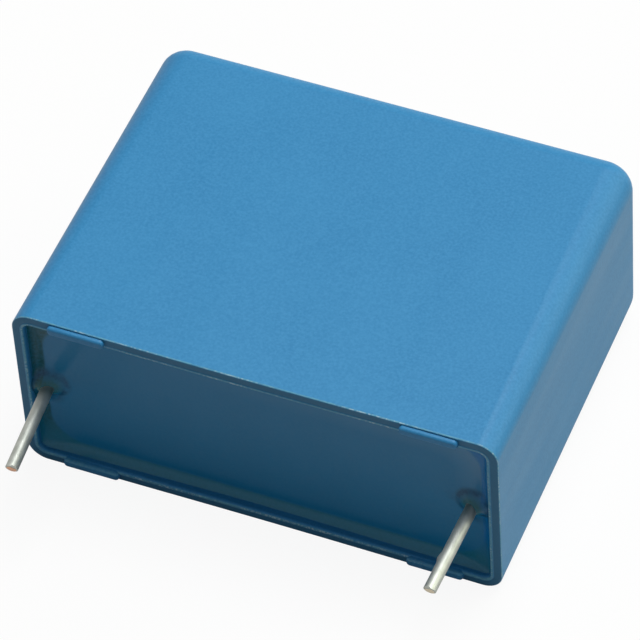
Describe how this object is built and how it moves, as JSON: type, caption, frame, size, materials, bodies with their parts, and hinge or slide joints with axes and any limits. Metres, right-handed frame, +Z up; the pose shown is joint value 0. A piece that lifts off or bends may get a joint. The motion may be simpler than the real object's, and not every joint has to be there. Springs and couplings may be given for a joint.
{
  "type": "box film capacitor",
  "caption": "Moulded box film capacitor with potted mouth, stand-off feet and parallel wire leads, lying on its broad face.",
  "frame": {"origin": "under the middle of the whole part, leads included, at the level of the broad face that it lies on", "axes": "+X across the two leads, +Y from the lead end to the closed end of the box, +Z up through the thickness"},
  "size_m": [0.0312, 0.0306, 0.0134],
  "materials": {
    "case_plastic": "satin moulded",
    "resin": "glossy cast",
    "film": "wound film",
    "sprayed_metal": "rough sprayed",
    "tinned_wire": "dull tin"
  },
  "bodies": {
    "root": {"case": "case_plastic", "potting_resin": "resin", "film_winding": "film", "left_contact_layer": "sprayed_metal", "right_contact_layer": "sprayed_metal", "left_lead": "tinned_wire", "right_lead": "tinned_wire"}
  },
  "joints": []
}
